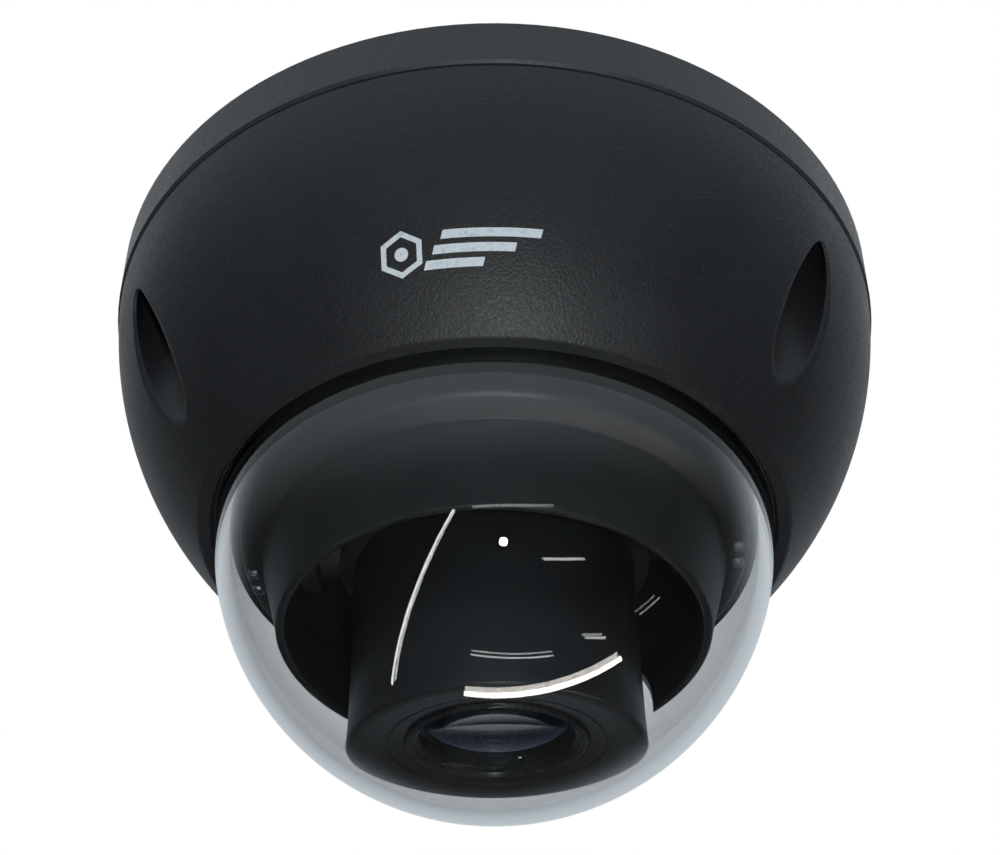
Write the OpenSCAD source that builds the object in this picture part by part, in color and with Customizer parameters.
// Vandal-resistant dome camera for a ceiling, hanging from its flat face.
// Millimetres, +Z up into the ceiling, origin at the centre of the ceiling face, front towards -Y.
// The pieces are drawn as they lie on a bench, ceiling face down, dome up and front towards +Y;
// hang() turns each one over into its place. Angles around the axis count from the front, towards +X.
// Pieces of the lens head are drawn along the lens axis, from the tilt pivot, and lean() sets them.

/* [Overall] */
// Diameter across the base ring
body_d = 122; // [121.6:0.1:123]
// Height from the ceiling face to the tip of the clear dome
body_h = 88.9; // [88.9:0.1:89.4]

/* [Base] */
// Height of the base ring, ceiling face to seam
base_h = 9; // [8.8:0.1:9.1]
// Thickness of the base floor
floor_t = 3; // [2.5:0.1:3.5]
// Diameter of the circle of ceiling screw holes
mount_pcd = 92; // [91:0.5:93]
// Diameter of the ceiling screw holes
mount_d = 4.5; // [4:0.1:4.8]
// Bore of the cable grommet
cable_d = 7; // [5:0.1:8]

/* [Casing] */
// Radius of the ball that the casing is cut from
cover_r = 60.8; // [60.6:0.1:60.9]
// Height of that ball's centre
cover_c = 5.5; // [5.2:0.1:5.7]
// Wall of the casing
cover_t = 2.5; // [2:0.1:2.7]
// Distance of the three casing screws from the axis
screw_r = 54.4; // [54.2:0.1:54.6]
// Diameter of the screw pockets
pocket_d = 9.2; // [8.8:0.1:9.4]

/* [Dome] */
// Outer radius of the clear dome
dome_r = 41.85; // [41.7:0.05:41.9]
// Wall of the clear dome
dome_t = 2.2; // [2:0.1:2.3]

/* [Lens head] */
// Angle of the lens from straight down, leaning to the back
tilt_rest = 8; // [4:1:14]
// Radius of the round lens head
head_r = 20.8; // [20.7:0.1:21]
// Distance from the tilt pivot to the front rim of the head
head_front = 33.2; // [32.8:0.1:33.3]
// Radius of the front glass
glass_r = 10.8; // [10.6:0.1:11]

/* [Hidden] */
$fn = 96;
base_r = body_d / 2;
dome_c = body_h - dome_r;              // centre of the dome, and height of the tilt pivot
run = 0.05;                            // radial clearance of a running fit
nip = 0.02;                            // gap between pieces that touch
gap = 0.3;                             // gap between bodies that pass each other
eps = 0.5;                             // how far a cut runs past a face

// base
rim_bevel = 0.4;
spigot_or = 57.2;
spigot_ir = 55;
spigot_h = base_h + 1.8;
seal_or = 59.7;
seal_ir = 58.1;
seal_depth = 0.9;
relief_or = 40;
relief_ir = 18;
relief_t = 1.2;
well_r = 11.5;                         // round well for the cable in the ceiling face
well_h = 6.6;
well_wall = 2;
channel_w = 10;                        // channel from the well to the ring, for a cable run on the surface
channel_a = 120;
plug_in = 50;                          // radius at which the channel's plug starts
plug_hollow = 7;
grommet_r = 7;
screw_angles = [60, 180, 300];
mount_angles = [30, 150, 270];
screw_boss_r = 3.4;
screw_boss_h = spigot_h - 0.5;
m4_r = 2;
board_z = 10.6;                        // underside of the circuit board
board_t = 1.6;
board_top = board_z + board_t;
board_r = 41;
board_post_r = 37;
board_posts = [45, 165, 285];
tab_w = 26;                            // tab on the front of the board, for the card slot and the reset button
tab_y = 47;
gimbal_z = 17;                         // underside of the gimbal's fixed plate
gimbal_post_r = 47;
gimbal_posts = [90, 210, 330];

// casing and dome
seam_z = base_h + gap;
collar_z = 37.5;                       // underside of the thick collar that holds the dome
flange_r = 44.2;
flange_z = 41.5;
flange_t = 2;
lip_r = dome_r + 0.45;
seat_z = flange_z + flange_t + 0.8;    // shoulder that the dome's seal presses on
pocket_r = pocket_d / 2;
pocket_floor = 13.6;
pocket_wall = 1.9;
head_z = 14.3;                         // underside of a casing screw's head
clamp_angles = [40, 140, 220, 320];
clamp_screw_r = 45.9;
clamp_ir = 40.6;
clamp_or = 47.6;
clamp_z = 35.6;

// gimbal
hub_r = 14;
hub_ir = 9.5;
hub_top = 21.5;
hub_screw_r = 11.7;                    // circle of the screws that hold the retaining ring
light_hole_r = 25.5;                   // circle of the holes that make the fixed plate lighter
plate_z = 19.2;                        // turntable
plate_t = 2.2;
plate_top = plate_z + plate_t;
plate_r = 36.4;
arm_in = 26.3;                         // inner and outer faces of the two arms
arm_out = 29;
arm_w = 12;
liner_r = 38;
liner_top_r = 31.1;
liner_top = dome_c + 18.2;
liner_t = 1.2;
liner_foot_r = 32.4;
liner_neck_r = 34.2;                   // outside of the drum where it stands on the shoulder
liner_screw_r = 34.6;
liner_screws_at = [60, 180, 300];
pan_lock_r = 24;
liner_step = dome_c + 5.2;
slot_r = 22.5;                         // slot at the back of the liner that the head leans into
slot_floor = dome_c - 6;

// lens head, heights along the lens axis from the pivot
neck_r = 20.4;
neck_h = 5;
skirt_r = 18.85;                       // sleeve of the front shell that slips into the neck of the rear shell
ring_or = 23;
back_r = 22.6;
back_z = -8;
shell_t = 1.8;
head_fillet = 0.6;
face_z = 32;                           // the face dips from the rim to this height beside the lens ring
bezel_r = 12.8;
barrel_r = 12.6;
barrel_ir = 10.5;
barrel_z = 3;
barrel_top = 30;
gear_m = 0.4;                          // zoom ring and pinion
ring_teeth = 70;
pinion_teeth = 10;
gear_z = 12;
gear_w = 4;
pinion_r = gear_m * (ring_teeth + pinion_teeth) / 2;
filter_pitch = 8.2;                    // between the two panes of the day and night filter

casing_black = [0.13, 0.135, 0.14];
rubber_black = [0.06, 0.06, 0.06];
plastic_black = [0.1, 0.1, 0.105];
steel = [0.7, 0.7, 0.72];
clear = [0.85, 0.88, 0.9, 0.35];
board_green = [0.05, 0.3, 0.16];
chip_black = [0.08, 0.08, 0.09];

module hang() { rotate([180, 0, 0]) children(); }
module lean() { translate([0, 0, dome_c]) rotate([tilt_rest, 0, 0]) children(); }
module around(r, a) { rotate([0, 0, -a]) translate([0, r, 0]) children(); }
module tube(ro, ri, z, h) {
    translate([0, 0, z]) difference() {
        cylinder(r = ro, h = h);
        translate([0, 0, -eps]) cylinder(r = ri, h = h + 2 * eps);
    }
}
module block(size, at) { translate([at[0] - size[0] / 2, at[1] - size[1] / 2, at[2]]) cube(size); }
module turned(outline) { rotate_extrude() polygon(outline); }

// Points of a quarter circle about c, from angle a0 to a1
function arc(c, r, a0, a1, n = 8) = [for (i = [0:n]) let (a = a0 + (a1 - a0) * i / n)
    [c[0] + r * cos(a), c[1] + r * sin(a)]];

// A screw with a round head at z = 0 and its shank below it; the drive is a blind hexagon
module round_screw(cap_r, cap_h, shank_r, length) {
    difference() {
        union() {
            turned([[0, 0], [cap_r, 0], [cap_r, cap_h * 0.55], [cap_r * 0.72, cap_h], [0, cap_h]]);
            translate([0, 0, -length]) cylinder(r = shank_r, h = length + cap_h / 4);
        }
        translate([0, 0, cap_h * 0.4]) cylinder(r = cap_r * 0.42, h = cap_h, $fn = 6);
    }
}

// A toothed wheel with narrow straight-sided teeth, which leave the mesh some play
module toothed(teeth, width) {
    pitch_r = gear_m * teeth / 2;
    root_r = pitch_r - 0.42;
    tip_r = pitch_r + 0.26;
    step = 360 / teeth;
    linear_extrude(width) polygon([for (i = [0:teeth - 1]) each
        [for (p = [[root_r, -0.24], [tip_r, -0.1], [tip_r, 0.1], [root_r, 0.24]])
            [p[0] * cos((i + p[1]) * step), p[0] * sin((i + p[1]) * step)]]]);
}

// ---- base ----

module base_dish() {
    turned([[0, 0], [base_r - rim_bevel, 0], [base_r, rim_bevel], [base_r, base_h - rim_bevel],
        [base_r - rim_bevel, base_h], [seal_or, base_h], [seal_or, base_h - seal_depth],
        [seal_ir, base_h - seal_depth], [seal_ir, base_h], [spigot_or, base_h], [spigot_or, spigot_h],
        [spigot_ir, spigot_h], [spigot_ir, floor_t], [0, floor_t]]);
}

module channel(width, from, to, height) {
    rotate([0, 0, -channel_a]) translate([-width / 2, from, 0]) cube([width, to - from, height]);
}

module base_housing() color(casing_black) hang() difference() {
    union() {
        base_dish();
        cylinder(r = well_r + well_wall, h = well_h + 1.8);
        channel(channel_w + 2 * well_wall, well_r, spigot_or, well_h + 1.6);
        for (a = screw_angles) around(screw_r, a) cylinder(r = screw_boss_r, h = screw_boss_h);
        for (a = board_posts) around(board_post_r, a) cylinder(r = 3, h = board_z);
        for (a = gimbal_posts) around(gimbal_post_r, a) cylinder(r = 3.2, h = gimbal_z);
    }
    translate([0, 0, -eps]) cylinder(r = well_r, h = well_h + eps);
    cylinder(r = grommet_r, h = 2 * well_h);
    translate([0, 0, -eps]) channel(channel_w, 0, base_r + eps, well_h + eps);
    difference() {
        tube(relief_or, relief_ir, -eps, relief_t + eps);
        channel(channel_w + 4 * well_wall, 0, base_r, well_h);
    }
    for (a = mount_angles) around(mount_pcd / 2, a)
        translate([0, 0, -eps]) cylinder(d = mount_d, h = floor_t + 2 * eps);
    for (a = screw_angles) around(screw_r, a) translate([0, 0, 2]) cylinder(r = m4_r + run, h = spigot_h);
    for (a = board_posts) around(board_post_r, a) translate([0, 0, 4]) cylinder(r = 1, h = board_z);
    for (a = gimbal_posts) around(gimbal_post_r, a) translate([0, 0, 9]) cylinder(r = 1.3, h = gimbal_z);
}

module base_seal() color(rubber_black) hang()
    tube(seal_or - run, seal_ir + run, base_h - seal_depth + nip, seal_depth + 0.08);

module cable_grommet() color(rubber_black) hang() turned([
    [cable_d / 2, 4.6], [grommet_r + 1.8, 4.6], [grommet_r + 1.8, well_h - nip], [grommet_r - nip, well_h - nip],
    [grommet_r - nip, well_h + 1.8 + nip], [grommet_r + 1.4, well_h + 1.8 + nip],
    [grommet_r + 0.6, well_h + 3], [cable_d / 2, well_h + 3]]);

module channel_plug() color(plastic_black) hang() rotate([0, 0, -channel_a]) intersection() {
    difference() {
        block([channel_w - 2 * run, base_r - plug_in, well_h - run], [0, (base_r + plug_in) / 2, 0]);
        block([channel_w - 3, plug_hollow, well_h], [0, plug_in + 1.2 + plug_hollow / 2, -1.5]);
    }
    cylinder(r = base_r - 0.1, h = base_h);
}

module main_board() color(board_green) hang() difference() {
    translate([0, 0, board_z]) union() {
        cylinder(r = board_r, h = board_t);
        block([tab_w, 17, board_t], [0, tab_y - 8.5, 0]);
    }
    translate([0, 0, board_z - eps]) cylinder(r = grommet_r + 1.5, h = board_t + 2 * eps);
    for (a = board_posts) around(board_post_r, a)
        translate([0, 0, board_z - eps]) cylinder(r = 1.2, h = board_t + 2 * eps);
}

module board_screws() color(steel) hang() for (a = board_posts)
    around(board_post_r, a) translate([0, 0, board_top + nip]) round_screw(2, 1.5, 0.95, 6);

module image_processor() color(chip_black) hang() {
    block([15, 15, 1.2], [0, -21, board_top]);
    block([12, 12, 1], [0, -21, board_top + 1.2]);
}

module memory_chip() color(chip_black) hang() block([9, 12, 1.1], [15, -19, board_top]);

module network_transformer() color(chip_black) hang() block([10, 13, 4.2], [-19, -14, board_top]);

module power_inductor() color([0.35, 0.33, 0.3]) hang() difference() {
    block([8, 8, 3.6], [23, -6, board_top]);
    translate([23, -6, board_top + 3]) cylinder(r = 2.6, h = 1);
}

module capacitors() color(steel) hang() for (i = [0:2])
    translate([-27 + i, 4 + 8 * i, board_top]) cylinder(r = 2.5, h = 4);

module network_header() color([0.85, 0.84, 0.78]) hang() difference() {
    block([16, 5.5, 4.2], [-9, 18, board_top]);
    block([14, 3.6, 4], [-9, 18, board_top + 0.8]);
}

module ribbon_header() color([0.85, 0.84, 0.78]) hang() difference() {
    block([15, 4, 2], [10, 18, board_top]);
    block([13, 1.6, 2], [10, 18.6, board_top + 0.5]);
}

module card_slot() color(steel) hang() difference() {
    block([14, 13, 1.9], [-5, 39.8, board_top]);
    block([11.4, 13, 1], [-5, 40.8, board_top + 0.45]);
}

module reset_switch() color(chip_black) hang() difference() {
    block([6, 6, 3.4], [8.6, 42.6, board_top]);
    translate([8.6, 42.6, board_top + 1.6]) cylinder(r = 1.75, h = 3);
}

module reset_button() color([0.8, 0.8, 0.78]) hang()
    translate([8.6, 42.6, board_top + 2.3]) cylinder(r = 1.7, h = 2.2);

// ---- fixed part of the gimbal ----

module gimbal_base() color(plastic_black) hang() difference() {
    union() {
        translate([0, 0, gimbal_z]) cylinder(r = 36, h = 2);
        translate([0, 0, gimbal_z]) cylinder(r = hub_r, h = hub_top - gimbal_z);
        for (a = gimbal_posts) around(gimbal_post_r, a) {
            translate([0, 0, gimbal_z]) cylinder(r = 4.5, h = 2);
            block([9, 12, 2], [0, -6, gimbal_z]);
        }
    }
    translate([0, 0, gimbal_z - eps]) cylinder(r = hub_ir, h = 10);
    for (a = gimbal_posts) around(gimbal_post_r, a)
        translate([0, 0, gimbal_z - eps]) cylinder(r = 1.4, h = 3);
    for (a = [0, 120, 240]) around(hub_screw_r, a) translate([0, 0, gimbal_z]) cylinder(r = 0.7, h = 10);
    for (a = [30:60:330]) around(light_hole_r, a) translate([0, 0, gimbal_z - eps]) cylinder(r = 6, h = 3);
}

module gimbal_screws() color(steel) hang() for (a = gimbal_posts)
    around(gimbal_post_r, a) translate([0, 0, gimbal_z + 2 + nip]) round_screw(2.4, 1.6, 1.25, 8);

module pan_retainer() color(steel) hang() difference() {
    tube(16.6, hub_ir, hub_top + nip, 1);
    for (a = [0, 120, 240]) around(hub_screw_r, a) translate([0, 0, hub_top]) cylinder(r = 0.8, h = 2);
}

module retainer_screws() color(steel) hang() for (a = [0, 120, 240])
    around(hub_screw_r, a) translate([0, 0, hub_top + 1.04]) round_screw(1.5, 0.8, 0.65, 4);

// ---- casing with its clear dome ----

// Outline of the casing's ball of radius r between two heights
function ball_line(r, z0, z1, n) = [for (i = [0:n]) let (z = z0 + (z1 - z0) * i / n)
    [sqrt(r * r - (z - cover_c) * (z - cover_c)), z]];

module cover_outside() {
    side = ball_line(cover_r, seam_z + rim_bevel, dome_c, 18);
    turned(concat([[0, seam_z], [side[0][0] - rim_bevel, seam_z]], side, [[0, dome_c]]));
}

// The hollow of the casing, with the walls of the screw pockets left standing in it
module cover_hollow() {
    difference() {
        turned(concat([[0, seam_z - eps]], ball_line(cover_r - cover_t, seam_z - eps, collar_z, 10),
            [[flange_r + 0.15, collar_z], [flange_r + 0.15, seat_z], [lip_r, seat_z],
            [lip_r, dome_c - 0.6], [lip_r + 0.6, dome_c], [lip_r + 0.6, dome_c + eps], [0, dome_c + eps]]));
        for (a = screw_angles) around(screw_r, a) translate([0, 0, spigot_h + gap])
            cylinder(r = pocket_r + pocket_wall, h = collar_z - spigot_h);
    }
}

module cover() color(casing_black) hang() difference() {
    cover_outside();
    cover_hollow();
    for (a = screw_angles) around(screw_r, a) {
        translate([0, 0, pocket_floor]) cylinder(r = pocket_r, h = dome_c);
        cylinder(r = m4_r + 0.15, h = dome_c);
    }
    for (a = clamp_angles) around(clamp_screw_r, a)
        translate([0, 0, collar_z - eps]) cylinder(r = 0.85, h = 4.7 + eps);
}

// Tamper-resistant screw: round head with a six-lobe drive around a small pin
module cover_screws() color(steel) hang() for (a = screw_angles) around(screw_r, a) {
    difference() {
        union() {
            translate([0, 0, head_z]) turned([[0, 0], [3.7, 0], [3.7, 1.2], [2.9, 2.4], [0, 2.7]]);
            translate([0, 0, 4]) cylinder(r = m4_r, h = head_z - 3.9);
        }
        translate([0, 0, head_z + 1]) for (k = [0:2]) rotate([0, 0, 60 * k]) block([1, 3.4, 3], [0, 0, 0]);
    }
    translate([0, 0, head_z + 0.9]) cylinder(r = 0.5, h = 1.6);
}

module screw_seals() color(rubber_black) hang() for (a = screw_angles)
    around(screw_r, a) tube(3.5, m4_r + 0.1, pocket_floor + nip, head_z - pocket_floor - 2 * nip);

module dome_bubble() color(clear) hang() difference() {
    union() {
        intersection() {
            translate([0, 0, dome_c]) sphere(r = dome_r, $fn = 160);
            translate([0, 0, dome_c]) cylinder(r = base_r, h = body_h);
        }
        translate([0, 0, flange_z]) cylinder(r = dome_r, h = dome_c - flange_z);
        translate([0, 0, flange_z]) cylinder(r = flange_r, h = flange_t);
    }
    translate([0, 0, dome_c]) sphere(r = dome_r - dome_t, $fn = 160);
    translate([0, 0, flange_z - eps]) cylinder(r = dome_r - dome_t, h = dome_c - flange_z + eps);
}

module bubble_seal() color(rubber_black) hang() turned([
    [dome_r + run, flange_z + flange_t + nip], [flange_r, flange_z + flange_t + nip],
    [flange_r, seat_z - nip], [lip_r - run, seat_z - nip], [lip_r - run, dome_c - 0.7],
    [dome_r + run, dome_c - 0.7]]);

module clamp_ring() color(steel) hang() difference() {
    turned([[clamp_ir, clamp_z], [clamp_or, clamp_z], [clamp_or, collar_z - nip],
        [flange_r, collar_z - nip], [flange_r, flange_z - nip], [clamp_ir, flange_z - nip]]);
    for (a = clamp_angles) around(clamp_screw_r, a)
        translate([0, 0, clamp_z - eps]) cylinder(r = 1, h = 4);
}

module clamp_screws() color(steel) hang() for (a = clamp_angles) around(clamp_screw_r, a)
    translate([0, 0, clamp_z - nip]) rotate([180, 0, 0]) round_screw(1.6, 1.1, 0.8, 6);

// ---- turning part of the gimbal ----

module arm() {
    translate([arm_in, 0, 0]) rotate([90, 0, 90]) linear_extrude(arm_out - arm_in) polygon([
        [-11, plate_top - 0.4], [11, plate_top - 0.4], [arm_w / 2, plate_top + 12], [arm_w / 2, dome_c],
        [-arm_w / 2, dome_c], [-arm_w / 2, plate_top + 12]]);
    translate([arm_in, 0, dome_c]) rotate([0, 90, 0]) cylinder(d = arm_w, h = arm_out - arm_in);
}

module turntable() color(plastic_black) hang() difference() {
    union() {
        translate([0, 0, plate_z]) cylinder(r = plate_r, h = plate_t);
        arm();
        mirror([1, 0, 0]) arm();
    }
    translate([0, 0, plate_z - eps]) cylinder(r = hub_r + run, h = 10);
    translate([-40, 0, dome_c]) rotate([0, 90, 0]) cylinder(r = 1.5 + run, h = 80);
    for (a = liner_screws_at) around(liner_screw_r, a) translate([0, 0, plate_z - eps]) cylinder(r = 0.8, h = 10);
    around(pan_lock_r, 180) translate([0, 0, plate_z - eps]) cylinder(r = 1.2, h = 10);
    for (s = [-1, 1]) around(20 * s, 0) block([18, 5, 10], [0, 0, plate_z - eps]);
}

module pan_lock_screw() color(steel) hang()
    around(pan_lock_r, 180) translate([0, 0, plate_top + nip]) round_screw(2.6, 1.6, 1.15, 2.1);

module inner_liner() color(plastic_black) hang() difference() {
    turned(concat(
        [[liner_foot_r, plate_top + nip], [liner_r, plate_top + nip], [liner_r, liner_step - 1]],
        arc([liner_r - 1, liner_step - 1], 1, 15, 75, 4),
        [[liner_neck_r + 0.6, liner_step + 0.5], [liner_neck_r, liner_step + 1.1], [liner_top_r, liner_top - 0.5],
        [liner_top_r - 0.4, liner_top], [liner_top_r - 1, liner_top], [liner_top_r - liner_t, liner_top - 0.5],
        [liner_neck_r - liner_t, liner_step + 0.4], [liner_neck_r, liner_step - 0.7], [liner_r - 1.7, liner_step - 1.4],
        [liner_r - liner_t, liner_step - 2], [liner_r - liner_t, plate_top + liner_t], [liner_foot_r, plate_top + liner_t]]));
    translate([0, -15, slot_floor + slot_r]) rotate([90, 0, 0]) cylinder(r = slot_r, h = 40);
    block([2 * slot_r, 30, 40], [0, -30, slot_floor + slot_r]);
    for (a = liner_screws_at) around(liner_screw_r, a) translate([0, 0, plate_z]) cylinder(r = 1, h = 4);
}

module liner_screws() color(steel) hang() for (a = liner_screws_at)
    around(liner_screw_r, a) translate([0, 0, plate_top + 1.24]) round_screw(1.5, 0.9, 0.75, 3);

// ---- tilting cradle ----

module tilt_cradle() color(plastic_black) hang() lean() difference() {
    union() {
        tube(ring_or, neck_r + run, -neck_h, 2 * neck_h);
        for (s = [0, 1]) mirror([s, 0, 0]) difference() {
            translate([ring_or - 1.4, 0, 0]) rotate([0, 90, 0]) cylinder(r = 4, h = arm_in - 0.1 - ring_or + 1.4);
            translate([0, 0, -neck_h]) cylinder(r = neck_r + run, h = 2 * neck_h);
        }
    }
    for (s = [0, 1]) mirror([s, 0, 0])
        translate([21.8, 0, 0]) rotate([0, 90, 0]) cylinder(r = 1.3, h = 6);
}

module tilt_screws() color(steel) hang() lean() for (s = [0, 1]) mirror([s, 0, 0]) rotate([0, 90, 0]) {
    translate([0, 0, arm_out + 0.1]) round_screw(3.2, 1.9, 1.5, arm_out - arm_in + 0.15);
    translate([0, 0, 22]) cylinder(r = 1.25, h = 5);
}

// ---- lens head ----

module head_front_shell() color(plastic_black) hang() lean() turned(concat(
    [[skirt_r, 1.5], [skirt_r, neck_h + 0.2], [head_r, neck_h + 0.2]],
    arc([head_r - head_fillet, head_front - head_fillet], head_fillet, 0, 90),
    [[head_r - 1.4, head_front], [bezel_r + 0.1, face_z], [bezel_r + 0.1, face_z - 2], [18.2, face_z - 2],
    [head_r - shell_t, face_z - 2.8], [head_r - shell_t, neck_h + 1.4], [skirt_r - 1.25, neck_h + 1.4],
    [skirt_r - 1.25, 1.5]]));

module head_rear_shell() color(plastic_black) hang() lean() difference() {
    turned([[0, back_z], [back_r - 0.6, back_z], [back_r, back_z + 0.6], [back_r, -neck_h - 0.2],
        [neck_r, -neck_h - 0.2], [neck_r, neck_h + 0.1], [skirt_r + run, neck_h + 0.1], [skirt_r + run, -6.4], [0, -6.4]]);
    block([13, 3, 4], [0, 0, back_z - 1]);
}

module lens_bezel() color([0.16, 0.165, 0.17]) hang() lean() turned([
    [glass_r + 0.1, barrel_top + 0.1], [bezel_r, barrel_top + 0.1], [bezel_r, face_z + 0.1],
    [bezel_r - 0.4, face_z + 0.4], [glass_r + 1, face_z + 0.4], [glass_r + 0.1, face_z - 0.3]]);

// A round glass element, domed on the front by rise
module element(r, z, edge, rise) {
    ball_r = (r * r + rise * rise) / (2 * rise);
    intersection() {
        translate([0, 0, z]) cylinder(r = r, h = edge + rise);
        translate([0, 0, z + edge + rise - ball_r]) sphere(r = ball_r, $fn = 160);
    }
}

module front_glass() color([0.1, 0.14, 0.16, 0.6]) hang() lean() element(glass_r, 28.15, 2.1, 1.7);

module lens_barrel() color(plastic_black) hang() lean() turned([
    [7, barrel_z], [barrel_r, barrel_z], [barrel_r, barrel_top], [glass_r + run, barrel_top],
    [glass_r + run, 28.1], [barrel_ir, 28.1], [barrel_ir, barrel_z + 1.6], [7, barrel_z + 1.6]]);

module rear_glass() color(clear) hang() lean() element(barrel_ir - run, barrel_z + 1.65, 1.2, 1.2);

module zoom_ring() color([0.2, 0.2, 0.21]) hang() lean() translate([0, 0, gear_z]) difference() {
    toothed(ring_teeth, gear_w);
    translate([0, 0, -eps]) cylinder(r = barrel_r + run, h = gear_w + 2 * eps);
}

module zoom_pinion() color([0.75, 0.7, 0.5]) hang() lean() translate([pinion_r, 0, 0]) {
    translate([0, 0, gear_z + 0.3]) rotate([0, 0, 180 + 180 / pinion_teeth]) toothed(pinion_teeth, gear_w - 0.6);
    translate([0, 0, 8.5]) cylinder(r = 0.5, h = gear_z + gear_w - 8.5);
}

module zoom_motor() color(steel) hang() lean() difference() {
    union() {
        translate([pinion_r, 0, 6.8]) cylinder(r = 2.9, h = 4.4);
        block([4, 4.6, 1.4], [barrel_r + 2.1, 0, 9.8]);
    }
    translate([pinion_r, 0, 8]) cylinder(r = 0.5 + run, h = 6);
}

module zoom_carrier() color(plastic_black) hang() lean() tube(barrel_ir - run, 8.1, 12, 3);

module zoom_glass() color(clear) hang() lean() element(8.05, 12.4, 1.2, 1.1);

module filter_holder() color(plastic_black) hang() lean() difference() {
    block([32, 13, 2.8], [0, 0, -1.5]);
    block([27, 9.4, 1.2], [0, 0, -0.6]);
    block([7, 7, 6], [0, 0, -3]);
}

module filter_slider() color([0.2, 0.2, 0.21]) hang() lean() difference() {
    block([18, 9, 0.8], [-filter_pitch / 2, 0, -0.4]);
    for (s = [0, -1]) block([7.4, 7.4, 3], [s * filter_pitch, 0, -1.5]);
}

module filter_panes() color([0.4, 0.75, 0.7, 0.6]) hang() lean() for (s = [0, -1])
    block([7.3, 7.3, 0.7], [s * filter_pitch, 0, -0.35]);

module sensor_board() color(board_green) hang() lean() intersection() {
    translate([0, 0, -5.2]) cylinder(r = 17.5, h = 1.2);
    block([34, 27, 3], [0, 0, -6]);
}

module image_sensor() color(chip_black) hang() lean() block([11, 9, 1.4], [0, 0, -4 + nip]);

module sensor_socket() color([0.85, 0.84, 0.78]) hang() lean() block([12, 3, 0.95], [0, 0, -6.2]);

base_housing();
base_seal();
cable_grommet();
channel_plug();
main_board();
board_screws();
image_processor();
memory_chip();
network_transformer();
power_inductor();
capacitors();
network_header();
ribbon_header();
card_slot();
reset_switch();
reset_button();
gimbal_base();
gimbal_screws();
pan_retainer();
retainer_screws();
cover();
cover_screws();
screw_seals();
dome_bubble();
bubble_seal();
clamp_ring();
clamp_screws();
turntable();
pan_lock_screw();
inner_liner();
liner_screws();
tilt_cradle();
tilt_screws();
head_front_shell();
head_rear_shell();
lens_bezel();
front_glass();
lens_barrel();
rear_glass();
zoom_ring();
zoom_pinion();
zoom_motor();
zoom_carrier();
zoom_glass();
filter_holder();
filter_slider();
filter_panes();
sensor_board();
image_sensor();
sensor_socket();
